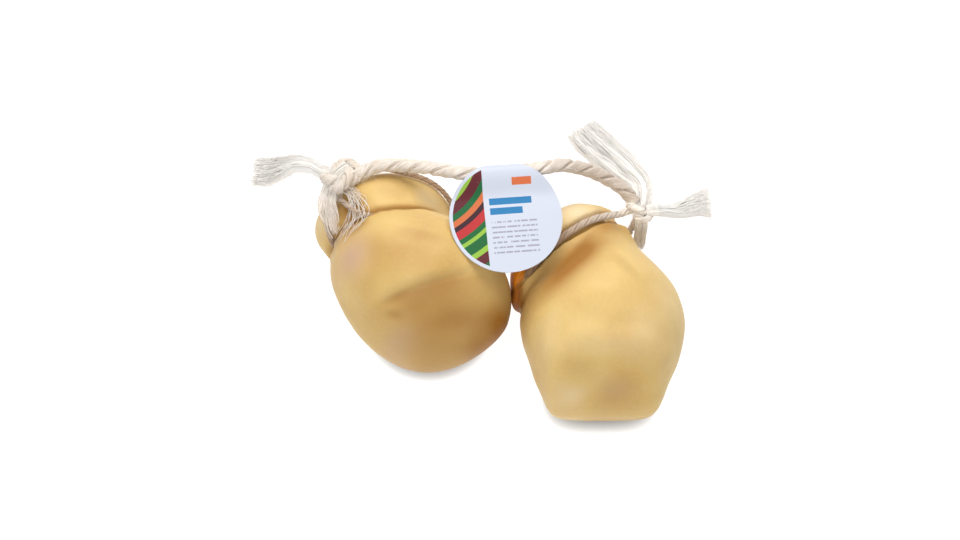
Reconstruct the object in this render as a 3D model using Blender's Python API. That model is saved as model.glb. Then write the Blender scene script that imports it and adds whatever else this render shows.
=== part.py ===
"""A pair of scamorza cheeses tied by the neck to one cotton cord, with a round paper tag on the cord.

Both cheeses lie on their sides with their heads away from -Y. Sizes are in millimetres and the
objects are built in metres, +Z up, with the origin on the floor under the middle of the pair.
"""

import math

import bpy
import numpy as np
from mathutils import Matrix, Vector

MM = 0.001

# ---- cheeses: driving sizes ----
AROUND = 42  # facets round a cheese
LENGTHWISE = 38  # rings of facets from base to crown
FLOOR_BLEND = 1.5  # height over which a soft side rounds off its flat patch on the floor
BASE_REACH = 40.0  # how far up a cheese the lean and squareness of its base are felt
LEAN_BLEND = 10.0  # height over which the base's two leans meet
NECK_RINGS = 3.0  # how many more rings there are at the neck, and how far they reach
NECK_REACH = 5.0
GATHERS = 9  # soft pleats of skin round a tied neck
GATHER_DEPTH = 0.5
GATHER_REACH = 10.0

# A cheese's spine runs from base to crown through rows (x, y, z, turn), where turn is how far the
# section there faces left of +Y, in degrees. Its sections stand across the spine: rows of (distance
# along it, half width to the left, half width to the right, half height). Its dents lower the upper
# side: rows of (x, y, half length, reach to the near side, reach to the far side, heading of the
# length in degrees, depth). A dent that reaches much further on one side is a fold of the skin. A lean
# is how far a section's outline shifts towards the crown, per unit of height over the spine.
LEFT = {
    "spine": (
        (-22.3, -32.5, 34, 18.5),
        (-29.5, -14, 35, 15.7),
        (-37, 4, 34, 15),
        (-50.5, 28, 30, 11),
        (-53.5, 39.5, 27.2, 9),
        (-55, 51, 27, 8),
    ),
    "sections": (
        (0, 0, 0, 0),
        (1.5, 10.4, 13, 11),
        (7, 20.2, 26.1, 22),
        (20, 31.5, 37, 34),
        (38, 37.1, 39.9, 37),
        (56, 33.5, 37.5, 32.5),
        (65.5, 30, 31, 27.5),
        (77, 33.5, 32, 29),
        (86, 29, 27, 25),
        (91.5, 17, 16, 15),
        (93, 0, 0, 0),
    ),
    "lean": (0.28, 0.28, 0.12),  # towards the crown, then at the base in its upper and lower half
    "square": 1.0,  # power of the section's sine and cosine at the base: under 1 it is boxier
    "neck": 65.5,  # distance along the spine to the groove that the cord has cut
    "groove_depth": 6.0,
    "groove_width": 2.2,
    "dents": (
        (-30.5, -6.0, 21, 15, 3.0, 18, 2.6),
        (-50.0, -12.0, 6, 4.5, 3, 35, 1.3),
        (-46.0, -18.5, 7, 3, 3.0, 10, 0.7),
        (-20.0, -22.0, 22, 7, 7.0, 12, 1.2),
        (-70.0, 12.0, 8, 12, 8.0, 60, 1.2),
    ),
}
RIGHT = {
    "spine": (
        (47.5, -55.9, 30, 0),
        (48.5, -34, 33, 0),
        (48, -14, 32, 4),
        (43.8, 3.5, 30, 18),
        (36, 15.8, 27.6, 35),
        (20, 33, 25.2, 44),
    ),
    "sections": (
        (0, 0, 0, 0),
        (0.6, 18.5, 19, 12),
        (2.2, 23, 24, 20),
        (8, 27.0, 27.3, 28.5),
        (20.5, 32.5, 32.4, 32.5),
        (38.5, 37.5, 38, 36),
        (53.5, 36.5, 35, 34.5),
        (64.5, 33.5, 28.8, 30.5),
        (78, 31.7, 31.5, 26),
        (84.5, 30.6, 29.5, 27.5),
        (91, 26.5, 23, 24),
        (96.8, 14, 13, 13),
        (98.5, 0, 0, 0),
    ),
    "lean": (0.22, 0.5, 0.0),
    "square": 0.5,
    "neck": 78.0,
    "groove_depth": 3.4,
    "groove_width": 3.4,
    "dents": (
        (28.0, 9.0, 17, 6, 6, 40, 2.2),
        (46.0, -44.0, 24, 7, 9, 0, 1.4),
        (56.0, -50.0, 9, 5, 5, 0, 0.8),
    ),
}


# ---- cord: two yarns twisted together, knotted round each neck, its ends left frayed ----
CORD = 6.2
CORD_POINTS = 44
# From knot to knot, over the left crown and through the fold of the tag, in metres.
CORD_ROUTE = (
    (-0.0632, 0.0528, 0.0558),
    (-0.0575, 0.0546, 0.0574),
    (-0.0500, 0.0550, 0.0590),
    (-0.0420, 0.0536, 0.0615),
    (-0.0340, 0.0512, 0.0653),
    (-0.0260, 0.0484, 0.0690),
    (-0.0176, 0.0463, 0.0706),
    (-0.0076, 0.0460, 0.0697),
    (0.0023, 0.0470, 0.0686),
    (0.0122, 0.0487, 0.0678),
    (0.0205, 0.0502, 0.0671),
    (0.0270, 0.0526, 0.0645),
    (0.0330, 0.0543, 0.0598),
    (0.0395, 0.0550, 0.0545),
    (0.0460, 0.0546, 0.0497),
    (0.0520, 0.0530, 0.0456),
    (0.0574, 0.0506, 0.0428),
    (0.0612, 0.0476, 0.0406),
)

# ---- knots: (middle, the way the flat side looks, radius of the ring, swing of the winding, yarn) ----
KNOTS = {
    "knot_left": ((-73.2, 51.0, 55.0), (-0.35, 0.45, 0.82), 5.6, 2.3, 3.8),
    "knot_right": ((66.4, 41.6, 36.5), (0.62, 0.52, 0.59), 3.9, 1.7, 2.9),
}
KNOT_RINGS = 51
KNOT_SIDES = 7

# ---- yarn round the necks: rows of (distance along the cheese, angle round it, height over the skin) ----
LEFT_TIE_ROUTE = (
    (77, 125, 1.9),
    (73, 121, 2.0),
    (68.8, 117, 1.8),
    (66.2, 110, -1.0),
    (65.5, 102, -2.5),
    *((65.5, turn, -2.5) for turn in range(85, -180, -20)),
    (65.5, -190, -2.2),
    (65.5, -199, -1.2),
    (66.8, -207, 1.2),
    (70.5, -213, 2.1),
    (76, -217, 2.0),
    (84, -222, 1.9),
)
LEFT_STRAND_ROUTE = (
    (85, 70, 2.0),
    (83, 54, 2.0),
    (80, 37, 2.0),
    (75, 22, 2.0),
    (70.5, 10, 2.0),
)
RIGHT_TIE_ROUTE = (
    (78, 26, 1.6),
    *((78, turn, -0.1) for turn in range(45, 110, 20)),
    *((78, turn, -0.3) for turn in range(125, 225, 20)),
    *((78, turn, -0.9) for turn in range(225, 325, 20)),
    (78, 329, 1.6),
)
# Each yarn: the cheese it is on, its thickness, rings and sides of its tube, a way across it, its route.
YARNS = {
    "neck_tie_left": (LEFT, 2.4, 64, 6, (-0.2, 0.95, 0.1), LEFT_TIE_ROUTE),
    "neck_strand_left": (LEFT, 2.4, 18, 7, (0, 0, 1), LEFT_STRAND_ROUTE),
    "neck_tie_right": (RIGHT, 3.2, 56, 8, (-0.62, 0.78, 0.1), RIGHT_TIE_ROUTE),
}

# ---- frayed ends: rows of (x, y, z, width, depth) ----
TAIL_SIDES = 10
TAILS = {
    "tail_left_out": (
        (-82.8, 55.8, 50.2, 5.5, 5.0),
        (-86.6, 60.2, 44.0, 7.0, 5.0),
        (-91.5, 65.6, 34.0, 8.5, 5.0),
        (-98.0, 70.6, 22.0, 10.5, 5.0),
        (-105.0, 72.8, 12.0, 12.5, 5.0),
        (-111.5, 73.8, 6.0, 13.5, 5.0),
        (-118.4, 74.4, 3.2, 13.5, 4.5),
    ),
    "tail_left_front": (
        (-79.3, 40.4, 53.4, 7.0, 3.5),
        (-78.2, 36.6, 53.4, 9.0, 3.5),
        (-76.0, 31.3, 54.7, 8.0, 3.0),
        (-73.4, 25.3, 56.4, 5.5, 2.5),
    ),
    "tail_right_up": (
        (68.6, 51.5, 40.0, 6.0, 5.0),
        (67.4, 55.5, 38.5, 9.0, 5.5),
        (63.2, 62.0, 33.5, 13.5, 5.5),
        (58.4, 69.5, 26.5, 16.0, 5.5),
        (53.8, 76.8, 19.0, 17.0, 5.5),
        (49.4, 84.2, 12.0, 18.0, 5.5),
        (45.4, 91.0, 6.5, 17.5, 5.0),
        (41.2, 96.6, 3.2, 15.5, 4.5),
    ),
    "tail_right_out": (
        (74.4, 42.0, 36.5, 5.0, 4.5),
        (78.4, 44.0, 30.0, 5.5, 4.5),
        (83.5, 47.8, 20.0, 6.5, 4.5),
        (90.1, 52.2, 11.0, 8.5, 4.5),
        (96.6, 56.2, 5.2, 11.5, 4.5),
        (102.6, 58.5, 3.0, 14.5, 4.0),
    ),
    "tail_right_down": (
        (68.6, 36.6, 28.0, 4.0, 3.5),
        (68.9, 34.2, 23.5, 5.0, 3.5),
        (68.7, 32.0, 18.5, 5.5, 3.5),
        (68.6, 30.4, 14.0, 5.0, 3.0),
    ),
}
TAIL_FACES = {"tail_left_front": (-0.5, 0.15, 0.85)}  # the rest lie face up

# ---- tag: a round paper tag folded over the cord and pressed together below it ----
TAG_RADIUS = 25.9
TAG_THICK = 0.8
TAG_DROP = 21.6  # from the middle of the cord to the middle of the tag
TAG_SLEEVE = 4.6  # outer radius of the fold round the cord
TAG_BORE = 3.9
TAG_WEB = 13.0  # how far below the cord the two leaves meet
TAG_AT = (1.1, 47.2, 68.8)
TAG_ALONG = (0.990, 0.107, -0.095)  # the way of the cord in the fold
TAG_TILT = 5.0  # degrees that the tag's lower edge hangs below level
FOLD_TURN = 125  # degrees to each side that the fold follows the cord before the leaves run down
FOLD_STEPS = 16
TAG_STEPS = 72  # straight runs in the round edge

# ---- how finely smooth lines are worked out before even points are read from them ----
FINE = 600


def spline(knots, values, at):
    """Natural cubic spline through rows of values at knots, read at every number in at."""
    n, gap = len(knots), np.diff(knots)
    system, right = np.eye(n), np.zeros_like(values)
    for i in range(1, n - 1):
        system[i, i - 1 : i + 2] = gap[i - 1], 2 * (gap[i - 1] + gap[i]), gap[i]
        right[i] = 6 * ((values[i + 1] - values[i]) / gap[i] - (values[i] - values[i - 1]) / gap[i - 1])
    bend = np.linalg.solve(system, right)
    i = np.clip(np.searchsorted(knots, at) - 1, 0, n - 2)
    step = gap[i][:, None]
    after = (at - knots[i])[:, None]
    before = step - after
    return (
        (bend[i] * before**3 + bend[i + 1] * after**3) / (6 * step)
        + (values[i] / step - bend[i] * step / 6) * before
        + (values[i + 1] / step - bend[i + 1] * step / 6) * after
    )


def chords(points):
    """Distance to each point along the straight runs between them."""
    return np.concatenate([[0], np.cumsum(np.linalg.norm(np.diff(points, axis=0), axis=1))])


def smooth_route(points, count):
    """count evenly spaced points on one smooth curve through a few chosen ones."""
    points = np.array(points, float)
    along = chords(points[:, :3])
    dense = spline(along, points, np.linspace(0, along[-1], FINE))
    run = chords(dense[:, :3])
    even = np.linspace(0, run[-1], count)
    return np.stack([np.interp(even, run, column) for column in dense.T], axis=1)


def cheese_sections(cheese, count):
    """Rows of (distance, left, right, half height) from base to crown, packed closer at the neck.

    The table is carried on past both ends as its own mirror image, so that the ends come out round.
    """
    table = np.array(cheese["sections"], float)
    mirror = np.array([1, -1, -1, -1])
    table = np.concatenate([table[2:0:-1] * mirror, table, table[-2:-4:-1] * mirror])
    along = chords(table[:, :2])
    even = np.linspace(along[2], along[-3], FINE)
    dense = spline(along, table, even)
    closer = np.exp(-(((dense[:, 0] - cheese["neck"]) / NECK_REACH) ** 2))
    share = np.cumsum(1 + NECK_RINGS * closer)
    share = (share - share[0]) / (share[-1] - share[0])
    return spline(along, table, np.interp(np.linspace(0, 1, count), share, even))


def settle(z):
    """Heights with what is below the floor pressed flat on it, and a soft round beside the flat."""
    blend = FLOOR_BLEND
    return np.where(np.abs(z) < blend, (z + blend) ** 2 / (4 * blend), np.maximum(z, 0))


def outside(cheese, rows, angle, lift=None):
    """Points of the skin: a section row (distance, left, right, half height) and an angle for each.

    The section is an ellipse across the spine, boxier at the base, with its own half width on each side.
    The groove, the
    gathers and the dents are taken off its radius, and the floor presses its underside flat. With a
    lift, the points lie that high over the skin as it was before the cord cut in.
    """
    distance, left, right, rise = np.moveaxis(rows, -1, 0)
    flat = distance.ravel()
    spine = np.array(cheese["spine"], float)
    along = chords(spine[:, :3])
    centre = spline(along, spine, flat).reshape(distance.shape + (4,))
    turn = np.radians(centre[..., 3])
    ahead_x, ahead_y = -np.sin(turn), np.cos(turn)
    from_neck = distance - cheese["neck"]
    pleats = np.exp(-((from_neck / GATHER_REACH) ** 2)) * np.cos(GATHERS * angle + np.sin(2 * angle))
    groove = np.exp(-((from_neck / cheese["groove_width"]) ** 4))
    cut = cheese["groove_depth"] * groove + GATHER_DEPTH * pleats
    if lift is not None:
        cut = -lift
    half = (left + right) / 2 + (right - left) / 2 * np.cos(angle)
    base = 1 - np.clip(distance / BASE_REACH, 0, 1)
    power = 1 - (1 - cheese["square"]) * base
    cosine, sine = (np.sign(f(angle)) * np.abs(f(angle)) ** power for f in (np.cos, np.sin))
    side = (half - cut) * cosine
    up = (rise - cut) * sine
    crown_lean, upper_lean, under_lean = cheese["lean"]
    above = np.clip(0.5 + up / (2 * LEAN_BLEND), 0, 1)
    lean = crown_lean + base * (under_lean + (upper_lean - under_lean) * above - crown_lean)
    x = centre[..., 0] + side * ahead_y + lean * up * ahead_x
    y = centre[..., 1] - side * ahead_x + lean * up * ahead_y
    z = centre[..., 2] + up
    upper = np.clip(np.sin(angle), 0, 1)
    for dent_x, dent_y, long, near, far, heading, depth in cheese["dents"]:
        turn = math.radians(heading)
        u = (x - dent_x) * math.cos(turn) + (y - dent_y) * math.sin(turn)
        v = (y - dent_y) * math.cos(turn) - (x - dent_x) * math.sin(turn)
        z = z - depth * upper * np.exp(-((u / long) ** 2) - (v / np.where(v < 0, near, far)) ** 2)
    return np.stack([x, y, settle(z)], axis=-1)


def link(name, mesh, material):
    mesh.materials.append(material)
    mesh.shade_smooth()
    made = bpy.data.objects.new(name, mesh)
    bpy.context.scene.collection.objects.link(made)
    return made


def paint(name, colour, roughness):
    material = bpy.data.materials.new(name)
    material.use_nodes = True
    shader = material.node_tree.nodes["Principled BSDF"]
    shader.inputs["Base Color"].default_value = (*colour, 1)
    shader.inputs["Roughness"].default_value = roughness
    return material


def closed_loft(name, start, rings, end, material):
    """One closed body: a point, rings of equally many points, and a point."""
    count, around = rings.shape[:2]
    verts = np.concatenate([start[None], rings.reshape(-1, 3), end[None]]) * MM
    index = 1 + np.arange(count * around).reshape(count, around)
    after = np.roll(index, -1, axis=1)
    quads = np.stack([index[:-1], after[:-1], after[1:], index[1:]], axis=-1).reshape(-1, 4)
    first = np.stack([np.zeros(around, int), after[0], index[0]], axis=-1)
    last = np.stack([np.full(around, len(verts) - 1), index[-1], after[-1]], axis=-1)
    mesh = bpy.data.meshes.new(name)
    mesh.from_pydata(verts.tolist(), [], first.tolist() + quads.tolist() + last.tolist())
    return link(name, mesh, material)


def cheese_body(name, cheese, material):
    rows = cheese_sections(cheese, LENGTHWISE)
    angle = -2 * math.pi * np.arange(AROUND) / AROUND
    grid = np.broadcast_to(rows[1:-1, None], (LENGTHWISE - 2, AROUND, 4))
    rings = outside(cheese, grid, np.broadcast_to(angle, grid.shape[:2]))
    base, crown = outside(cheese, rows[[0, -1]], np.zeros(2))
    return closed_loft(name, base, rings, crown, material)


def over_skin(cheese, route, count):
    """Evenly spaced points over a cheese, on a smooth curve through rows of (distance, angle, lift)."""
    dense = cheese_sections(cheese, FINE)
    distance, degrees, lift = np.array(route, float).T
    rows = np.stack([np.interp(distance, dense[:, 0], column) for column in dense.T], axis=1)
    return smooth_route(outside(cheese, rows, np.radians(degrees), lift), count)


def tube(name, centres, widths, depths, face, sides, material, closed=False):
    """A round or flattened tube along centres; face is the way that its flatter side looks."""
    count = len(centres)
    if closed:
        tangent = np.roll(centres, -1, axis=0) - np.roll(centres, 1, axis=0)
    else:
        tangent = np.gradient(centres, axis=0)
    tangent /= np.linalg.norm(tangent, axis=1, keepdims=True)
    side = np.cross(tangent, face)
    side /= np.linalg.norm(side, axis=1, keepdims=True)
    over = np.cross(side, tangent)
    angle = 2 * math.pi * np.arange(sides) / sides
    wide = (np.broadcast_to(widths, count) / 2)[:, None, None] * side[:, None] * np.cos(angle)[:, None]
    deep = (np.broadcast_to(depths, count) / 2)[:, None, None] * over[:, None] * np.sin(angle)[:, None]
    rings = centres[:, None] + wide - deep
    if not closed:
        return closed_loft(name, centres[0], rings, centres[-1], material)
    index = np.arange(count * sides).reshape(count, sides)
    next_side, next_ring = np.roll(index, -1, axis=1), np.roll(index, -1, axis=0)
    quads = np.stack([index, next_side, np.roll(next_side, -1, axis=0), next_ring], axis=-1).reshape(-1, 4)
    mesh = bpy.data.meshes.new(name)
    mesh.from_pydata((rings.reshape(-1, 3) * MM).tolist(), [], quads.tolist())
    return link(name, mesh, material)


def knot(name, centre, axis, ring, swing, yarn, material):
    """A tight overhand knot: a yarn that winds three times through a flat ring while going round twice."""
    axis = np.array(axis, float) / np.linalg.norm(axis)
    across = np.cross(axis, (0, 0, 1))
    across /= np.linalg.norm(across)
    up = np.cross(axis, across)
    t = 2 * math.pi * np.arange(KNOT_RINGS) / KNOT_RINGS
    out = (ring + swing * np.cos(3 * t))[:, None]
    from_middle = out * (np.cos(2 * t)[:, None] * across + np.sin(2 * t)[:, None] * up)
    from_middle += swing * np.sin(3 * t)[:, None] * axis
    centres = np.array(centre) + from_middle
    return tube(name, centres, yarn, yarn, from_middle, KNOT_SIDES, material, closed=True)


def cord_span(name, material):
    curve = bpy.data.curves.new(name, "CURVE")
    curve.dimensions = "3D"
    curve.bevel_depth = CORD / 2 * MM
    curve.bevel_resolution = 3
    curve.use_fill_caps = True
    points = smooth_route(CORD_ROUTE, CORD_POINTS)
    spline_points = curve.splines.new("POLY").points
    spline_points.add(len(points) - 1)
    for place, point in zip(points, spline_points):
        point.co = (*place, 1)
    curve.materials.append(material)
    made = bpy.data.objects.new(name, curve)
    bpy.context.scene.collection.objects.link(made)
    return made


def tail(name, rows, material):
    face = TAIL_FACES.get(name, (0, 0, 1))
    rows = smooth_route(rows, 2 * len(rows))
    return tube(name, rows[:, :3], rows[:, 3], rows[:, 4], face, TAIL_SIDES, material)


def prism(name, outline, length, frame, material):
    """The outline, in the second and third axes of the frame, drawn out to both sides along its first."""
    count = len(outline)
    ends = [np.column_stack([np.full(count, x), outline]) for x in (-length / 2, length / 2)]
    index = np.arange(count)
    after = np.roll(index, -1)
    walls = np.stack([index, after, after + count, index + count], axis=-1).tolist()
    mesh = bpy.data.meshes.new(name)
    caps = [index[::-1].tolist(), (index + count).tolist()]
    mesh.from_pydata((np.concatenate(ends) * MM).tolist(), [], caps + walls)
    made = link(name, mesh, material)
    made.matrix_world = frame
    return made


def cut_by(target, name, outline, length, frame, operation):
    cutter = prism(name, outline, length, frame, target.data.materials[0])
    cutter.hide_render = True
    cutter.display_type = "WIRE"
    step = target.modifiers.new(name, "BOOLEAN")
    step.operation = operation
    step.object = cutter


def arc(radius, start, end, count):
    """Points on an arc round the origin, from one angle in degrees to another."""
    angle = np.radians(np.linspace(start, end, count))
    return np.stack([radius * np.cos(angle), radius * np.sin(angle)], axis=1)


def tag_frame():
    """Axes of the tag: along the cord, up the paper towards the fold, and out of its face."""
    along = Vector(TAG_ALONG).normalized()
    lean = math.radians(TAG_TILT)
    up = Vector((0, math.cos(lean), math.sin(lean)))
    out = along.cross(up).normalized()
    axes = Matrix((along, out.cross(along), out)).transposed().to_4x4()
    return Matrix.Translation(Vector(TAG_AT) * MM) @ axes


def tag(name, material):
    frame = tag_frame()
    foot = TAG_DROP + TAG_RADIUS + 1
    half = TAG_THICK / 2
    leaves = ((-TAG_WEB, half), (-foot, half), (-foot, -half), (-TAG_WEB, -half))
    outline = np.concatenate([arc(TAG_SLEEVE, -FOLD_TURN, FOLD_TURN, FOLD_STEPS + 1), leaves])
    made = prism(name, outline, 2 * TAG_RADIUS + 2, frame, material)
    made.data.set_sharp_from_angle(angle=math.radians(40))
    bore = arc(TAG_BORE, 0, 360, FOLD_STEPS + 1)[:-1]
    cut_by(made, "tag_bore", bore, 3 * TAG_RADIUS, frame, "DIFFERENCE")
    across = frame @ Matrix.Translation((0, -TAG_DROP * MM, 0)) @ Matrix.Rotation(math.pi / 2, 4, "Y")
    edge = arc(TAG_RADIUS, 0, 360, TAG_STEPS + 1)[:-1]
    cut_by(made, "tag_round", edge, 4 * TAG_SLEEVE, across, "INTERSECT")
    return made


for old in list(bpy.data.objects):
    bpy.data.objects.remove(old)
skin = paint("cheese_skin", (0.80, 0.60, 0.30), 0.45)
cotton = paint("cotton_cord", (0.82, 0.78, 0.70), 0.9)
paper = paint("tag_paper", (0.86, 0.86, 0.90), 0.5)

cheese_body("cheese_left", LEFT, skin)
cheese_body("cheese_right", RIGHT, skin)
for name, (cheese, thick, rings, sides, across, route) in YARNS.items():
    tube(name, over_skin(cheese, route, rings), thick, thick, across, sides, cotton)
for name, sizes in KNOTS.items():
    knot(name, *sizes, cotton)
cord_span("cord_span", cotton)
for name, rows in TAILS.items():
    tail(name, rows, cotton)
tag("tag", paper)
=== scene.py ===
"""A pair of scamorza cheeses tied by the neck to one cotton cord, with a round paper tag on the cord.

Sizes are in millimetres, and MM turns them to metres where a mesh or a light is made. The frame is the
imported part: +Z up, the origin on the floor under the middle of the pair.
"""

import math

import bpy
import numpy as np
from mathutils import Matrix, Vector


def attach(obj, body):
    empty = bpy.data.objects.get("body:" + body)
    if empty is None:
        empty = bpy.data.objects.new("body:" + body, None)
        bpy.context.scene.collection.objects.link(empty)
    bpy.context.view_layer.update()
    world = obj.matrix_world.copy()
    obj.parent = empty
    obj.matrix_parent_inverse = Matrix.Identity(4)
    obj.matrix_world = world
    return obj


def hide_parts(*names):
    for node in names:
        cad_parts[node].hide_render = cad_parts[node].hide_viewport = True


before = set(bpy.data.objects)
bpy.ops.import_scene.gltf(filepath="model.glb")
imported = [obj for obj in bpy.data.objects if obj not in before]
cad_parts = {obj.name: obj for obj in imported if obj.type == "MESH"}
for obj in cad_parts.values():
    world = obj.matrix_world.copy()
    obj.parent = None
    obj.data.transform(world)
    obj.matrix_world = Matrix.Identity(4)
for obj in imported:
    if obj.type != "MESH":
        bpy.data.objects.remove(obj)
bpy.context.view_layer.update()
MM = 0.001


# ---- The two cheeses ----
# Each is a pear of stretched curd, closed by hand at the base and tied off at the neck. It has drained
# and dried on its cord for a few days, so it wears a thin, matt, waxy rind the colour of straw, with
# soft swells, a few creases where the warm curd was folded, and tucks of skin gathered at the tie.
SKIN_AROUND = 300
SKIN_ALONG = 300
FLOOR_BLEND = 1.5
NECK_RINGS = 3.0
NECK_REACH = 5.0
GATHERS = 9
GATHER_DEPTH = 0.5
GATHER_REACH = 10.0
TUCKS = 26  # finer folds between the gathers, close to the tie
TUCK_DEPTH = 0.22
TUCK_REACH = 6.0
SWELLS = 26
SWELL_RISE = 0.0025  # height of a swell as a share of its length
SWELL_LENGTHS = (8.0, 26.0)
LIP_WIDTH = 1.0  # of the two lips of skin that close over a sunken tie
BASE_REACH = 40.0  # how far up a cheese the lean and squareness of its base are felt
LEAN_BLEND = 10.0  # height over which the base's two leans meet
BURIED_WIDTH = 6.0  # of the fold of skin over a buried tie
BURIED_BLEND = 18.0  # degrees
FINE = 600

# The spine runs from base to crown through rows (x, y, z, turn in degrees). Sections across it are rows
# (distance along it, half width to the left, to the right, half height). Dents and creases lower the
# upper side: rows (x, y, half length, reach to the near side, to the far side, heading, depth). Tans and
# shading, crown tans and shading, and blooms are rows of the same kind, with a strength for a depth. A row
# of tans and shading, or past the neck of crown tans and shading, browns the rind: partly a browner rind,
# partly painted shade in hollows, beside the tie and the tag, on sides turned from the light and where the
# two cheeses meet. With a strength over 1.2 it paints a deeper shade, and over 1.9 an orange rind lightened
# as painted light. With a strength under 0 it is painted light: a paler rind put where shade falls. A bloom
# is a greyish pink place.
LEFT = {
    "spine": (
        (-22.3, -32.5, 34, 18.5),
        (-29.5, -14, 35, 15.7),
        (-37, 4, 34, 15),
        (-50.5, 28, 30, 11),
        (-53.5, 39.5, 27.2, 9),
        (-55, 51, 27, 8),
    ),
    "sections": (
        (0, 0, 0, 0),
        (1.5, 10.4, 13, 11),
        (7, 20.2, 26.1, 22),
        (20, 31.5, 37, 34),
        (38, 37.1, 39.9, 37),
        (56, 33.5, 37.5, 32.5),
        (65.5, 30, 31, 27.5),
        (77, 33.5, 32, 29),
        (86, 29, 27, 25),
        (91.5, 17, 16, 15),
        (93, 0, 0, 0),
    ),
    "lean": (0.28, 0.28, 0.12),  # towards the crown, then at the base in its upper and lower half
    "square": 1.0,  # power of the section's sine and cosine at the base: under 1 it is boxier
    "neck": 65.5,
    "groove_depth": 2.6,
    "groove_width": 2.2,
    "lip": (2.2, 0.7),  # distance from the neck's middle, and how far the skin leans in over it
    "droop": 3.5,  # how far the crease sinks towards the base on its right
    "tie_shade": (3.2, 0.65),  # half width of the painted shade along the tie, and its strength
    "buried": (0, 0, 0),  # from one angle to another the skin has closed over the tie, this high
    "dents": (
        (-30.5, -6.0, 21, 15, 3.0, 18, 2.6),
        (-50.0, -12.0, 6, 4.5, 3, 35, 1.3),
        (-46.0, -18.5, 7, 3, 3.0, 10, 0.7),
        (-20.0, -22.0, 22, 7, 7.0, 12, 1.2),
        (-70.0, 12.0, 8, 12, 8.0, 60, 1.2),
    ),
    "creases": (
        (-45.0, -10.2, 8, 2.6, 1.7, 16, 0.6),
        (-48.3, -17.2, 4.5, 2.0, 1.5, -16, 0.35),
        (-29.0, -5.0, 18, 9.0, 1.8, 17, 0.55),
        (-34.0, 17.0, 14, 5, 2.5, -12, 0.4),
    ),
    # Browner rind and painted shade below the fold and towards the lower right; rows under 0 are painted
    # light.
    "tans_and_shading": (
        (-29, -7, 24, 26, 2.2, 16, 0.55),
        (-14, -17.5, 23, 5, 5, 10, 0.33),
        (2, -12, 9, 10, 7, 0, 0.4),
        (-46, -11, 8, 3, 2, 14, 0.22),
        (-48, -17.5, 5, 2.2, 2, -12, 0.2),
        (-30, 6, 24, 12, 14, 12, 0.12),
        (-34, -30, 17, 8, 8, 0, 0.35),
        (-57, 8, 14, 6, 6, 85, 0.2),
        (-38, 2, 14, 5, 8, 10, 0.12),
        (-40, -15, 8, 5, 5, 10, 0.22),
        (-8, -27, 10, 7, 7, 25, 0.65),
        (3, -18, 8, 6, 6, 40, 0.45),
        (-30, -37, 12, 4, 4, 0, 0.2),
        (-42, 12, 17, 12, 12, 15, 0.26),
        (-69, 29, 8, 8, 6, 0, 0.55),
        (-82, 30, 5, 5, 5, 0, -0.3),
        (-79, 26, 4, 5, 4, 0, 0.4),
    ),
    "crown_tans_and_shading": (
        (-68, 35, 7, 5, 6, 0, 0.9),
        (-47, 44, 12, 6, 6, -5, 0.28),
        (-34, 42, 8, 5, 5, -20, -0.5),
        (-82, 34, 6, 6, 6, 0, -0.5),
    ),
    "blooms": ((-67, 10, 9, 8, 8, 75, 0.85), (-46, -27, 8, 6, 5, 10, 0.45)),
    "seed": 3,  # of its swells
}
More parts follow.
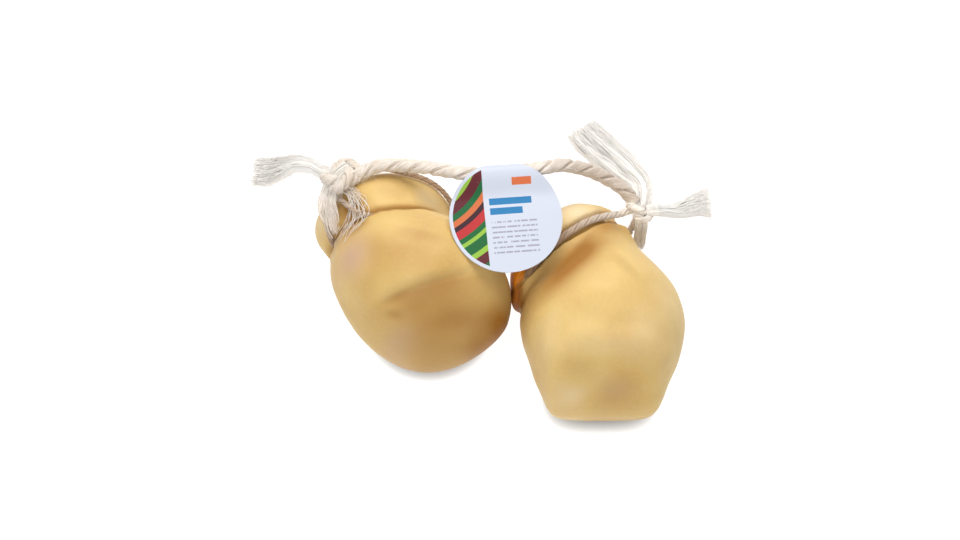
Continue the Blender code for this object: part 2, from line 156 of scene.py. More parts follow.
RIGHT = {
    "spine": (
        (47.5, -55.9, 30, 0),
        (48.5, -34, 33, 0),
        (48, -14, 32, 4),
        (43.8, 3.5, 30, 18),
        (36, 15.8, 27.6, 35),
        (20, 33, 25.2, 44),
    ),
    "sections": (
        (0, 0, 0, 0),
        (0.6, 18.5, 19, 12),
        (2.2, 23, 24, 20),
        (8, 27.0, 27.3, 28.5),
        (20.5, 32.5, 32.4, 32.5),
        (38.5, 37.5, 38, 36),
        (53.5, 36.5, 35, 34.5),
        (64.5, 33.5, 28.8, 30.5),
        (78, 31.7, 31.5, 26),
        (84.5, 30.6, 29.5, 27.5),
        (91, 26.5, 23, 24),
        (96.8, 14, 13, 13),
        (98.5, 0, 0, 0),
    ),
    "lean": (0.22, 0.5, 0.0),
    "square": 0.5,
    "neck": 78.0,
    "groove_depth": 3.0,
    "groove_width": 3.0,
    "lip": (3.6, 0.3),
    "droop": 0.0,
    "tie_shade": (4.0, 0.35),
    "buried": (138, 326, 3.0),
    "dents": (
        (28.0, 9.0, 17, 6, 6, 40, 2.2),
        (46.0, -44.0, 24, 7, 9, 0, 1.4),
        (56.0, -50.0, 9, 5, 5, 0, 0.8),
    ),
    "creases": (
        (38.0, 18.0, 9, 2.6, 1.8, 52, 0.7),
        (58.0, 4.0, 12, 4, 3, -50, 0.4),
    ),
    # Painted shade in the valley under the tie and the tag and at the foot of the lobe between the cheeses,
    # browner rind elsewhere; rows under 0 are painted light.
    "tans_and_shading": (
        (32, 4.5, 23, 6.5, 7, 43, 0.85),
        (28, 7, 26, 11, 12, 43, 0.3),
        (48, 8, 12, 10, 10, 50, 0.18),
        (39, 15, 8, 5, 6, 50, 0.25),
        (50, 30, 9, 6, 6, 20, 0.6),
        (8.5, -1, 8, 2.5, 8, 90, 2.0),
        (55, -47, 10, 6, 5, 0, 0.25),
        (42, -39, 24, 4, 4, 0, 0.15),
        (33.5, -51, 9, 5, 5, 0, -0.5),
        (22, -24, 18, 6, 7, 85, -0.2),
        (65, -27, 14, 9, 9, 90, -0.25),
        (36, -43, 8, 5, 5, 0, 0.2),
        (45, -36, 20, 9, 9, 0, -0.2),
        (56, 10, 12, 12, 12, 0, -0.15),
        (78, -12, 9, 14, 14, 0, -0.2),
        (46, -53, 14, 5, 5, 0, 0.2),
    ),
    # The lobe between the cheeses: orange rind lightened as painted light, with painted shade round it; the
    # row under 0 is painted light on the crown.
    "crown_tans_and_shading": ((7, 8, 10, 10, 10, 70, 3.2), (38, 34, 14, 8, 8, -10, -0.75)),
    "blooms": ((53, -49, 8, 4, 4, 0, 0.2),),
    "seed": 8,
}


def linear(code):
    """An sRGB colour in hex as linear red, green and blue, with alpha 1."""
    share = np.array([int(code[i : i + 2], 16) for i in (0, 2, 4)]) / 255
    light = np.where(share <= 0.04045, share / 12.92, ((share + 0.055) / 1.055) ** 2.4)
    return (*light.tolist(), 1.0)


def add(tree, kind, settings, inputs):
    """Adds a shader node, sets it, and sets or links its inputs, which are named or numbered."""
    node = tree.nodes.new("ShaderNode" + kind)
    for name, value in settings.items():
        setattr(node, name, value)
    for name, value in inputs.items():
        if isinstance(value, bpy.types.NodeSocket):
            tree.links.new(value, node.inputs[name])
        else:
            node.inputs[name].default_value = value
    return node


def spline(knots, values, at):
    """Natural cubic spline through rows of values at knots, read at every number in at."""
    n, gap = len(knots), np.diff(knots)
    system, right = np.eye(n), np.zeros_like(values)
    for i in range(1, n - 1):
        system[i, i - 1 : i + 2] = gap[i - 1], 2 * (gap[i - 1] + gap[i]), gap[i]
        right[i] = 6 * ((values[i + 1] - values[i]) / gap[i] - (values[i] - values[i - 1]) / gap[i - 1])
    bend = np.linalg.solve(system, right)
    i = np.clip(np.searchsorted(knots, at) - 1, 0, n - 2)
    step = gap[i][:, None]
    after = (at - knots[i])[:, None]
    before = step - after
    return (
        (bend[i] * before**3 + bend[i + 1] * after**3) / (6 * step)
        + (values[i] / step - bend[i] * step / 6) * before
        + (values[i + 1] / step - bend[i + 1] * step / 6) * after
    )


def chords(points):
    """Distance to each point along the straight runs between them."""
    return np.concatenate([[0], np.cumsum(np.linalg.norm(np.diff(points, axis=0), axis=1))])


def cheese_sections(cheese, count):
    """Rows of (distance, left, right, half height) from base to crown, packed closer at the neck.

    The table is carried on past both ends as its own mirror image, so that the ends come out round.
    """
    table = np.array(cheese["sections"], float)
    mirror = np.array([1, -1, -1, -1])
    table = np.concatenate([table[2:0:-1] * mirror, table, table[-2:-4:-1] * mirror])
    along = chords(table[:, :2])
    even = np.linspace(along[2], along[-3], FINE)
    dense = spline(along, table, even)
    closer = np.exp(-(((dense[:, 0] - cheese["neck"]) / NECK_REACH) ** 2))
    share = np.cumsum(1 + NECK_RINGS * closer)
    share = (share - share[0]) / (share[-1] - share[0])
    return spline(along, table, np.interp(np.linspace(0, 1, count), share, even))


def swell(cheese, points):
    """Soft unevenness of hand-worked curd: plane sine waves added up, each in a direction of its own."""
    draw = np.random.default_rng(cheese["seed"])
    length = draw.uniform(*SWELL_LENGTHS, SWELLS)
    way = draw.normal(size=(3, SWELLS))
    way *= 2 * math.pi / length / np.linalg.norm(way, axis=0)
    return np.sin(points @ way + draw.uniform(0, 2 * math.pi, SWELLS)) @ (SWELL_RISE * length)


def dent(x, y, row):
    """A hollow of depth 1: exp(-(along / long)^2 - (across / reach)^2), with its own reach each side."""
    dent_x, dent_y, long, near, far, heading, _ = row
    turn = math.radians(heading)
    u = (x - dent_x) * math.cos(turn) + (y - dent_y) * math.sin(turn)
    v = (y - dent_y) * math.cos(turn) - (x - dent_x) * math.sin(turn)
    return np.exp(-((u / long) ** 2) - (v / np.where(v < 0, near, far)) ** 2)


def settle(z):
    """Heights with what is below the floor pressed flat on it, and a soft round beside the flat."""
    blend = FLOOR_BLEND
    return np.where(np.abs(z) < blend, (z + blend) ** 2 / (4 * blend), np.maximum(z, 0))


def rind(cheese, rows, angle, lift=None):
    """Points of the rind from section rows and an angle for each, with its marks at each point.

    The section is an ellipse across the spine, with its own half width on each side. The tie's groove,
    the gathers, the tucks and the swells are taken off its radius, the dents and creases off its height,
    and the floor presses its underside flat. The groove droops towards the base by cos(angle)^2 on the
    right. With a lift, the points lie that high over the plain skin. The marks are how much painted shade
    lies in the creases and along the tie, how much browner rind with painted shade, or painted light under
    0, lies at each point, and how bloomed the rind is.
    """
    distance, left, right, rise = np.moveaxis(rows, -1, 0)
    from_neck = distance - cheese["neck"] + cheese["droop"] * np.clip(np.cos(angle), 0, 1) ** 2
    angle = np.broadcast_to(angle, distance.shape)
    lip_at, lip_reach = cheese["lip"]
    lean_in = np.sign(from_neck) * np.exp(-(((np.abs(from_neck) - lip_at) / LIP_WIDTH) ** 2))
    flat = (distance - (lip_reach * lean_in if lift is None else 0)).ravel()
    spine = np.array(cheese["spine"], float)
    along = chords(spine[:, :3])
    centre = spline(along, spine, flat).reshape(distance.shape + (4,))
    turn = np.radians(centre[..., 3])
    ahead_x, ahead_y = -np.sin(turn), np.cos(turn)
    groove = np.exp(-((from_neck / cheese["groove_width"]) ** 4))
    half = (left + right) / 2 + (right - left) / 2 * np.cos(angle)
    if lift is None:
        pleats = np.exp(-((from_neck / GATHER_REACH) ** 2)) * np.cos(GATHERS * angle + np.sin(2 * angle))
        tucks = np.exp(-((from_neck / TUCK_REACH) ** 2)) * np.cos(TUCKS * angle + 3 * np.sin(3 * angle))
        place = np.stack([distance, half * np.cos(angle), rise * np.sin(angle)], axis=-1)
        uneven = swell(cheese, place) * np.clip(half / half.max() * 3, 0, 1)
        first, last, over_tie = cheese["buried"]
        degrees = np.degrees(angle) % 360
        opening = np.clip((degrees - first) / BURIED_BLEND, 0, 1)
        buried = opening * np.clip((last - degrees) / BURIED_BLEND, 0, 1)
        fold = np.exp(-((from_neck / BURIED_WIDTH) ** 2)) * over_tie
        cut = cheese["groove_depth"] * groove * (1 - buried) - fold * buried
        cut = cut + GATHER_DEPTH * pleats + TUCK_DEPTH * tucks + uneven
    else:
        cut = -lift
    base = 1 - np.clip(distance / BASE_REACH, 0, 1)
    power = 1 - (1 - cheese["square"]) * base
    cosine, sine = (np.sign(f(angle)) * np.abs(f(angle)) ** power for f in (np.cos, np.sin))
    side = (half - cut) * cosine
    up = (rise - cut) * sine
    crown_lean, upper_lean, under_lean = cheese["lean"]
    above = np.clip(0.5 + up / (2 * LEAN_BLEND), 0, 1)
    lean = crown_lean + base * (under_lean + (upper_lean - under_lean) * above - crown_lean)
    x = centre[..., 0] + side * ahead_y + lean * up * ahead_x
    y = centre[..., 1] - side * ahead_x + lean * up * ahead_y
    z = centre[..., 2] + up
    upper = np.clip(np.sin(angle), 0, 1)
    tie_shade_width, tie_shade = cheese["tie_shade"]
    crease_shade = tie_shade * np.exp(-((from_neck / tie_shade_width) ** 2))
    tan_and_shading = sum(row[-1] * dent(x, y, row) for row in cheese["tans_and_shading"])
    crown_tan_and_shading = sum(row[-1] * dent(x, y, row) for row in cheese["crown_tans_and_shading"])
    tan_and_shading = np.where(from_neck < 0, tan_and_shading, crown_tan_and_shading)
    bloomed = sum(row[-1] * dent(x, y, row) for row in cheese["blooms"])
    for row in cheese["dents"]:
        z = z - row[-1] * upper * dent(x, y, row)
    if lift is None:
        for row in cheese["creases"]:
            depth = upper * dent(x, y, row)
            z = z - row[-1] * depth
            crease_shade = np.maximum(crease_shade, row[-1] * depth)
    return np.stack([x, y, settle(z)], axis=-1), {"crease_shade": crease_shade, "tan_and_shading": tan_and_shading, "bloomed": bloomed}


def shell(name, rings, material, loop=False, marks=None, smooth=True):
    """One object of closed tubes, from rings of points in millimetres: (tube, ring, side, xyz).

    A point at the middle of its first and last ring closes a tube, or with loop its last ring joins its
    first. The UV map holds millimetres along the tube and turns round it. marks are numbers for each
    point, kept as attributes. Faces are turned round together if they enclose a negative volume.
    """
    tubes, count, sides = rings.shape[:3]
    index = np.arange(tubes * count * sides).reshape(tubes, count, sides)
    middle = rings.mean(axis=2)
    run = np.cumsum(np.linalg.norm(np.diff(middle, axis=1, prepend=middle[:, :1]), axis=-1), axis=1)
    if loop:
        index = np.concatenate([index, index[:, :1]], axis=1)
        run = np.concatenate([run, 2 * run[:, -1:] - run[:, -2:-1]], axis=1)
    after = np.roll(index, -1, axis=2)
    turn = np.arange(sides) / sides
    u = np.broadcast_to(run[..., None], index.shape)
    v = np.broadcast_to(turn, index.shape)
    quads = np.stack([index[:, :-1], after[:, :-1], after[:, 1:], index[:, 1:]], axis=-1).reshape(-1, 4)
    quad_u = np.stack([u[:, :-1], u[:, :-1], u[:, 1:], u[:, 1:]], axis=-1).reshape(-1, 4)
    quad_v = np.stack([v, v + 1 / sides, v + 1 / sides, v], axis=-1)[:, 1:].reshape(-1, 4)
    points = rings.reshape(-1, 3)
    marks = {key: np.broadcast_to(value, rings.shape[:3]) for key, value in (marks or {}).items()}
    flat_marks = {key: value.ravel() for key, value in marks.items()}
    caps, cap_u = np.zeros((0, 3), int), np.zeros((0, 3))
    if not loop:
        first = len(points) + np.arange(tubes)[:, None] + np.zeros(sides, int)
        last = first + tubes
        points = np.concatenate([points, middle[:, 0], middle[:, -1]])
        caps = [[first, after[:, 0], index[:, 0]], [last, index[:, -1], after[:, -1]]]
        caps = np.concatenate([np.stack(cap, axis=-1).reshape(-1, 3) for cap in caps])
        cap_u = np.repeat(np.concatenate([run[:, 0], run[:, -1]]), sides)[:, None] + np.zeros(3)
        for key, value in marks.items():
            ends = value[:, 0].mean(axis=1), value[:, -1].mean(axis=1)
            flat_marks[key] = np.concatenate([flat_marks[key], *ends])
    halves = np.concatenate([quads[:, :3], quads[:, [0, 2, 3]], caps])
    a, b, c = (points[halves[:, i]] for i in range(3))
    corners = np.stack([np.concatenate([quad_u.ravel(), cap_u.ravel()]), np.zeros(quads.size + caps.size)])
    corners[1, : quads.size] = quad_v.ravel()
    if (a * np.cross(b, c)).sum() < 0:
        quads, caps = quads[:, ::-1], caps[:, ::-1]
        corners[:, : quads.size] = corners[:, : quads.size].reshape(2, -1, 4)[..., ::-1].reshape(2, -1)
        corners[:, quads.size :] = corners[:, quads.size :].reshape(2, -1, 3)[..., ::-1].reshape(2, -1)
    mesh = bpy.data.meshes.new(name)
    mesh.from_pydata((points * MM).tolist(), [], quads.tolist() + caps.tolist())
    mesh.uv_layers.new(name="run").data.foreach_set("uv", corners.T.ravel())
    for key, value in flat_marks.items():
        mesh.attributes.new(key, "FLOAT", "POINT").data.foreach_set("value", value.astype(np.float32))
    mesh.materials.append(material)
    if smooth:
        mesh.shade_smooth()
    made = bpy.data.objects.new(name, mesh)
    bpy.context.scene.collection.objects.link(made)
    return made


def layered(tree, base, layers):
    """Colours laid over a base one after another, each in a share that its own source gives.

    A layer is (source, low, high, most, sRGB colour). Its share grows evenly from 0 where the source is
    low to the most where it is high, and is level beyond both.
    """
    tone = linear(base)
    for source, low, high, most, colour in layers:
        share = add(tree, "MapRange", {}, {0: source, 1: low, 2: high, 4: most}).outputs[0]
        tone = add(tree, "Mix", {"data_type": "RGBA"}, {0: share, 6: tone, 7: linear(colour)}).outputs[2]
    return tone


def waxy_rind():
    """Rind of a pulled-curd cheese: matt and faintly waxy, straw and cream in drifts, browner in places,
    with painted shade in creases, hollows and along the tie, and painted light in shaded places.
    """
    material = bpy.data.materials.new("waxy_rind")
    material.use_nodes = True
    tree = material.node_tree
    shader = tree.nodes["Principled BSDF"]
    place = add(tree, "TexCoord", {}, {}).outputs["Object"]
    noises = []
    for size, detail in ((34, 3.0), (15, 4.0), (1.6, 5.0), (0.7, 2.0)):
        noise = add(tree, "TexNoise", {}, {"Vector": place, "Scale": 1 / (size * MM), "Detail": detail})
        noises.append(noise.outputs["Fac"])
    drift, blush, grain, pores = noises
    crease_shade, tan_and_shading, bloomed = (
        add(tree, "Attribute", {"attribute_name": mark}, {}).outputs["Fac"]
        for mark in ("crease_shade", "tan_and_shading", "bloomed")
    )
    layers = (
        (drift, 0.35, 0.68, 1.0, "d0ab65"),  # straw, in drifts over cream
        (blush, 0.52, 0.8, 0.45, "caa26c"),  # a faint blush
        (grain, 0.45, 0.75, 0.16, "e6cf9c"),  # fine pale specks
        (tan_and_shading, 0.0, 1.0, 1.0, "a06c28"),  # brown: partly a browner rind, partly painted shade
        (tan_and_shading, 1.2, 2.0, 1.0, "98560e"),  # painted shade, deeper, where the two cheeses meet
        (tan_and_shading, 1.9, 2.6, 1.0, "dc8412"),  # orange rind between them, lightened as painted light on a shaded lobe
        (tan_and_shading, 0.0, -1.0, 1.0, "f0dcb4"),  # painted light: paler where shade falls
        (bloomed, 0.0, 1.0, 1.0, "c5a186"),  # greyish pink
        (crease_shade, 0.1, 1.0, 0.75, "a0703a"),  # painted shade in creases and along the tie
    )
    gloss = add(tree, "MapRange", {}, {0: blush, 3: 0.44, 4: 0.62})
    height = add(tree, "Math", {"operation": "MULTIPLY_ADD"}, {0: pores, 1: 0.35, 2: grain})
    bump = add(tree, "Bump", {}, {"Strength": 0.35, "Distance": 0.25 * MM, "Height": height.outputs[0]})
    tree.links.new(layered(tree, "ddbd79", layers), shader.inputs["Base Color"])
    tree.links.new(gloss.outputs[0], shader.inputs["Roughness"])
    tree.links.new(bump.outputs["Normal"], shader.inputs["Normal"])
    shader.inputs["IOR"].default_value = 1.45
    shader.inputs["Specular IOR Level"].default_value = 0.35
    shader.inputs["Subsurface Weight"].default_value = 0.15
    shader.inputs["Subsurface Radius"].default_value = (1.0, 0.55, 0.22)
    shader.inputs["Subsurface Scale"].default_value = 4 * MM
    return material


rind_finish = waxy_rind()
for name, cheese in (("cheese_left", LEFT), ("cheese_right", RIGHT)):
    rows = cheese_sections(cheese, SKIN_ALONG + 2)[1:-1, None]
    angles = np.linspace(0, 2 * math.pi, SKIN_AROUND, endpoint=False)
    rows = np.broadcast_to(rows, (SKIN_ALONG, SKIN_AROUND, 4))
    points, marks = rind(cheese, rows, np.broadcast_to(angles, rows.shape[:2]))
    skin = shell(f"rind_{name}", points[None], rind_finish, marks=marks)
    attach(skin, "root")
    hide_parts(name)
    if name == "cheese_left":
        left_skin = points.reshape(-1, 3)


# ---- The cord from knot to knot ----
# One length of soft, unbleached cotton: two fat plies laid together left-handed, a turn every 24 mm,
# spun loose enough for its threads to show as flutes and for stray hairs to stand off it. It leaves one
# knot, crosses the left crown, carries the tag and comes down to the other knot.
CORD = 6.2
CORD_PITCH = 24.0
CORD_RINGS = 260
PLY_SIDES = 40
PLY_OFFSET = 0.22  # all as shares of the cord's thickness
PLY_DEEP = 0.27
PLY_WIDE = 0.45
FLUTES = 9
FLUTE_DEPTH = 0.035
CORD_LENGTH = 0.151  # with the two ends that are inside the knots
CORD_ROUTE = (
    (-0.0632, 0.0528, 0.0558),
    (-0.0575, 0.0546, 0.0574),
    (-0.0500, 0.0550, 0.0590),
    (-0.0420, 0.0536, 0.0615),
    (-0.0340, 0.0512, 0.0653),
    (-0.0260, 0.0484, 0.0690),
    (-0.0176, 0.0463, 0.0706),
    (-0.0076, 0.0460, 0.0697),
    (0.0023, 0.0470, 0.0686),
    (0.0122, 0.0487, 0.0678),
    (0.0205, 0.0502, 0.0671),
    (0.0270, 0.0526, 0.0645),
    (0.0330, 0.0543, 0.0598),
    (0.0395, 0.0550, 0.0545),
    (0.0460, 0.0546, 0.0497),
    (0.0520, 0.0530, 0.0456),
    (0.0574, 0.0506, 0.0428),
    (0.0612, 0.0476, 0.0406),
)
CORD_ENDS = ((-0.0690, 0.0515, 0.0548), (0.0642, 0.0442, 0.0388))
HAIR = 0.12  # a stray hair's thickness, several times the real one so that it shows
HAIRS = 420  # on the cord, and on each knot
CORD_HAIR = 3.0  # the longest
HAIR_RINGS = 6
HAIR_SIDES = 3


def smooth_route(points, count):
    """count evenly spaced points on one smooth curve through a few chosen ones."""
    points = np.array(points, float)
    along = chords(points[:, :3])
    dense = spline(along, points, np.linspace(0, along[-1], FINE))
    run = chords(dense[:, :3])
    even = np.linspace(0, run[-1], count)
    return np.stack([np.interp(even, run, column) for column in dense.T], axis=1)


def unit(vectors):
    return vectors / np.linalg.norm(vectors, axis=-1, keepdims=True)


def directions(centres, face, loop=False):
    """At each point of a path: the way across it and the way over it, the second one nearest to face."""
    if loop:
        ahead = np.roll(centres, -1, axis=0) - np.roll(centres, 1, axis=0)
    else:
        ahead = np.gradient(centres, axis=0)
    side = unit(np.cross(unit(ahead), face))
    return side, unit(np.cross(side, ahead))


def plies(centres, face, thick, turns, loop=False):
    """Rings of two plies laid left-handed round a path, as (ply, ring, side, xyz).

    A ply's middle runs round the path at PLY_OFFSET. Its section is an ellipse, wider round the cord than
    out from it, with FLUTES shallow waves that turn with the ply.
    """
    side, over = directions(centres, face, loop)
    share = np.arange(len(centres)) / (len(centres) - (0 if loop else 1))
    turn = 2 * math.pi * (turns * share + np.array([[0], [0.5]]))[..., None]
    out = np.cos(turn) * side + np.sin(turn) * over
    around = np.cos(turn) * over - np.sin(turn) * side
    angle = 2 * math.pi * np.arange(PLY_SIDES) / PLY_SIDES
    fluted = 1 + FLUTE_DEPTH * np.cos(FLUTES * angle + 3 * turn)
    across = thick * (PLY_OFFSET + PLY_DEEP * fluted * np.cos(angle))
    along = thick * PLY_WIDE * fluted * np.sin(angle)
    return centres[:, None] + across[..., None] * out[:, :, None] + along[..., None] * around[:, :, None]


def hairs(centres, radius, count, length, seed):
    """Rings of stray hairs: each leaves the cord's surface at a random place and way, and curls over."""
    draw = np.random.default_rng(seed)
    at = draw.integers(2, len(centres) - 2, count)
    ahead = unit(centres[at + 2] - centres[at - 2])
    out = draw.normal(size=(count, 3))
    out = unit(out - (out * ahead).sum(axis=1, keepdims=True) * ahead)
    lean = ahead * draw.uniform(-1.4, 1.4, (count, 1))
    curl = draw.normal(size=(count, 3)) * 0.8
    t = np.linspace(0, 1, HAIR_RINGS)[:, None]
    long = (length * draw.uniform(0.4, 1.0, count))[:, None, None]
    way = unit(out + lean)
    line = centres[at][:, None] + 0.85 * radius * out[:, None]
    line = line + long * (t * way[:, None] + t**2 * 0.5 * curl[:, None])
    return thin_tubes(line, HAIR * (1 - 0.6 * t[:, 0]), HAIR_SIDES)


def thin_tubes(lines, thick, sides):
    """Rings round many lines at once: (line, point, xyz) to (line, point, side, xyz)."""
    ahead = unit(np.gradient(lines, axis=1))
    side = unit(np.cross(ahead, (0.31, 0.17, 0.93)))
    over = np.cross(side, ahead)
    angle = 2 * math.pi * np.arange(sides) / sides
    thick = np.broadcast_to(thick, lines.shape[:2])[..., None, None] / 2
    spread = np.cos(angle)[:, None] * side[:, :, None] + np.sin(angle)[:, None] * over[:, :, None]
    return lines[:, :, None] + thick * spread


def unbleached_cotton(name, bloom, relief):
    """Unbleached cotton: dry and matt with a soft bloom, off-white, with painted shade, greyer and warmer,
    between threads.

    bloom is how strongly the loose ends of its fibres catch the light from the side, and relief how deep
    its threads are. A piece's own tone makes it cleaner, up to 1, or darker, down to -1: partly oiled by the
    cheese, partly painted shade where it lies in a crease, under a fold of skin or close over the skin.
    """
    material = bpy.data.materials.new(name)
    material.use_nodes = True
    tree = material.node_tree
    shader = tree.nodes["Principled BSDF"]
    run = add(tree, "UVMap", {"uv_map": "run"}, {}).outputs["UV"]
    # Threads 0.5 mm wide, a few times coarser than real ones, drawn out along the ply.
    drawn = add(tree, "Mapping", {}, {"Vector": run, "Scale": (0.35, 16.0, 1.0)}).outputs[0]
    threads = add(tree, "TexNoise", {}, {"Vector": drawn, "Scale": 1.0, "Detail": 3.0}).outputs["Fac"]
    place = add(tree, "TexCoord", {}, {}).outputs["Object"]
    drift = add(tree, "TexNoise", {}, {"Vector": place, "Scale": 1 / (9 * MM), "Detail": 2.0})
    own = add(tree, "Attribute", {"attribute_name": "tone"}, {}).outputs["Fac"]
    layers = (
        (threads, 0.3, 0.62, 1.0, "f3ede4"),  # the crowns of the threads, over painted shade between them
        (drift.outputs["Fac"], 0.4, 0.8, 0.5, "e3d3bf"),  # warmer in places
        (own, 0.0, 1.0, 1.0, "fbf9f5"),  # clean
        (own, 0.0, -1.0, 1.0, "9c7c5c"),  # darker: oiled by the cheese, and painted shade close to the skin
    )
    bump = add(tree, "Bump", {}, {"Strength": relief, "Distance": 0.2 * MM, "Height": threads})
    tree.links.new(layered(tree, "d8cdc0", layers), shader.inputs["Base Color"])
    tree.links.new(bump.outputs["Normal"], shader.inputs["Normal"])
    shader.inputs["Roughness"].default_value = 0.9
    shader.inputs["IOR"].default_value = 1.53
    shader.inputs["Specular IOR Level"].default_value = 0.2
    shader.inputs["Sheen Weight"].default_value = bloom
    shader.inputs["Sheen Roughness"].default_value = 0.5
    return material


cotton = unbleached_cotton("spun_cotton", 0.3, 0.5)
span = smooth_route((CORD_ENDS[0], *CORD_ROUTE, CORD_ENDS[1]), CORD_RINGS)
turns = CORD_LENGTH / MM / CORD_PITCH
span_rings = plies(span / MM, (0, 0, 1), CORD, turns)
# The cord is darker towards its right end.
darker_right_end = -0.2 - 0.25 * np.clip((span[:, 0] / MM - 20) / 20, 0, 1)
cord_span = shell("cord_span_plies", span_rings, cotton, marks={"tone": darker_right_end[:, None]})
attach(cord_span, "root")
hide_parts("cord_span")
strays = hairs(span / MM, CORD / 2, HAIRS, CORD_HAIR, seed=5)
fuzz = shell("cord_hairs", strays, cotton, marks={"tone": 0.8}, smooth=False)
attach(fuzz, "root")


# ---- The yarn round each neck ----
# The same cotton, pulled into the warm curd as the cheese was tied off: on the left cheese it has sunk
# out of sight in its crease, on the right one it lies half proud of the skin where it shows, and runs
# under a fold of it lower down.
TIE_RINGS = 300
TIE_STEP = 5  # every fifth point is kept where the ends are joined on
LEFT_TIE_ROUTE = (
    (77, 125, 1.9),
    (73, 121, 2.0),
    (68.8, 117, 1.8),
    (66.2, 110, -1.0),
    (65.5, 102, -4.0),
    *((65.5, turn, -4.4) for turn in range(85, -180, -20)),
    (65.5, -190, -3.5),
    (65.5, -199, -1.2),
    (66.8, -207, 1.2),
    (70.5, -213, 2.1),
    (76, -217, 2.0),
    (84, -222, 1.9),
)
LEFT_STRAND_ROUTE = (
    (85, 70, 2.0),
    (83, 54, 2.0),
    (80, 37, 2.0),
    (75, 22, 2.0),
    (70.5, 10, 2.0),
)
RIGHT_TIE_ROUTE = (
    (78, 26, 1.6),
    *((78, turn, -0.1) for turn in range(45, 110, 20)),
    (78, 122, -0.7),
    (78, 136, -1.3),
    (78, 150, -2.2),
    *((78, turn, -2.6) for turn in range(165, 310, 20)),
    (78, 318, -1.0),
    (78, 329, 1.6),
)
# Each yarn: the cheese, thickness, one turn of its twist, its tone at its ends and in its middle, from
# clean (1) to dark (-1), a way across its loop, its route, and the points beyond it that take both ends into
# the knot. The dark middle is partly oil from the cheese, partly painted shade where the yarn lies sunk in
# the crease, under the fold of skin or beside the head.
YARNS = {
    "neck_tie_left": (
        LEFT, 2.4, 10.0, (-0.6, -1.0), (-0.2, 0.95, 0.1), LEFT_TIE_ROUTE,
        ((-74.5, 48.5, 54.5),), ((-77.5, 50.0, 50.0), (-76.0, 52.0, 53.5)),
    ),
    "neck_strand_left": (
        LEFT, 2.4, 10.0, (-0.4, -0.9), (0, 0, 1), LEFT_STRAND_ROUTE,
        ((-68.0, 53.5, 54.0), (-60.0, 55.0, 53.6), (-52.0, 55.2, 53.6)), ((-21.5, 32.0, 30.0),),
    ),
    "neck_tie_right": (
        RIGHT, 3.3, 13.0, (-0.15, -1.0), (-0.62, 0.78, 0.1), RIGHT_TIE_ROUTE,
        ((63.5, 41.5, 38.0),), ((63.0, 37.0, 21.5), (66.0, 40.5, 31.0)),
    ),
}


def over_skin(cheese, route, count):
    """Evenly spaced points over a cheese, on a smooth curve through rows of (distance, angle, lift)."""
    dense = cheese_sections(cheese, FINE)
    distance, degrees, lift = np.array(route, float).T
    rows = np.stack([np.interp(distance, dense[:, 0], column) for column in dense.T], axis=1)
    return smooth_route(rind(cheese, rows, np.radians(degrees), lift)[0], count)


for name, (cheese, thick, pitch, clean, across, route, before, after) in YARNS.items():
    centres = over_skin(cheese, route, TIE_RINGS)
    centres = smooth_route(np.concatenate([before, centres[::TIE_STEP], after]), TIE_RINGS)
    turns = chords(centres)[-1] / pitch
    tone = np.interp(np.linspace(0, 1, TIE_RINGS), (0, 0.3, 0.7, 1), (*clean, *clean[::-1]))
    yarn_rings = plies(centres, across, thick, turns)
    yarn = shell(name + "_plies", yarn_rings, cotton, marks={"tone": tone[:, None]})
    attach(yarn, "root")
    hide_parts(name)


# ---- The knots ----
# Tight overhand knots in the same yarn, bulky for their size, with threads that have slipped out of
# the lay and stand off them.
KNOT_RINGS = 200
KNOT_HAIR = 5.5  # the longest
# Each knot: its middle, the axis of its ring, the ring's radius, how far the yarn swings about the ring,
# the yarn's thickness, one turn of its twist, and its tone, from clean (1) to dark (-1).
KNOTS = {
    "knot_left": ((-73.2, 51.0, 55.0), (-0.35, 0.45, 0.82), 5.6, 2.3, 5.0, 12.0, -0.25),
    "knot_right": ((66.4, 41.6, 36.5), (0.62, 0.52, 0.59), 3.9, 1.7, 3.5, 10.0, 0.15),
}


def knot_path(centre, axis, ring, swing):
    """A line that goes twice round a flat ring, winding through it three times, and the ways out from it."""
    axis = np.array(axis, float) / np.linalg.norm(axis)
    across = unit(np.cross(axis, (0, 0, 1)))
    up = np.cross(axis, across)
    t = 2 * math.pi * np.arange(KNOT_RINGS) / KNOT_RINGS
    out = (ring + swing * np.cos(3 * t))[:, None]
    from_middle = out * (np.cos(2 * t)[:, None] * across + np.sin(2 * t)[:, None] * up)
    from_middle += swing * np.sin(3 * t)[:, None] * axis
    return np.array(centre) + from_middle, from_middle


knots = []
for name, (centre, axis, ring, swing, thick, pitch, clean) in KNOTS.items():
    centres, outward = knot_path(centre, axis, ring, swing)
    turns = round(chords(centres)[-1] / pitch)
    rings = plies(centres, outward, thick, turns, loop=True)
    knot = shell(name + "_plies", rings, cotton, loop=True, marks={"tone": clean})
    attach(knot, "root")
    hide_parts(name)
    strays = hairs(centres, thick / 2, HAIRS, KNOT_HAIR, seed=11)
    loose = shell(name + "_hairs", strays, cotton, marks={"tone": 0.7}, smooth=False)
    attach(loose, "root")
    knots += [knot, loose]


# ---- The threads over the left neck ----
# Single threads that came out of the left knot when it was pulled tight. They hang over the crease below
# it in open loops and lie lightly on the skin.
LOOPS = 22
LOOP_RINGS = 24
LOOP_SIDES = 5
LOOP_THICK = 0.32
LOOP_REACH = 1.5
UPPER_SIDE = 35.0  # the skin's points above this height are on its upper side
# Where they start, swing out to and end, as (x, y), and how far each of these is spread.
LOOP_START = ((-70.5, 44.0), (3.0, 2.0))
LOOP_SWING = ((-60.0, 31.0), (9.0, 10.0))
LOOP_END = ((-71.5, 24.0), (5.0, 8.0))


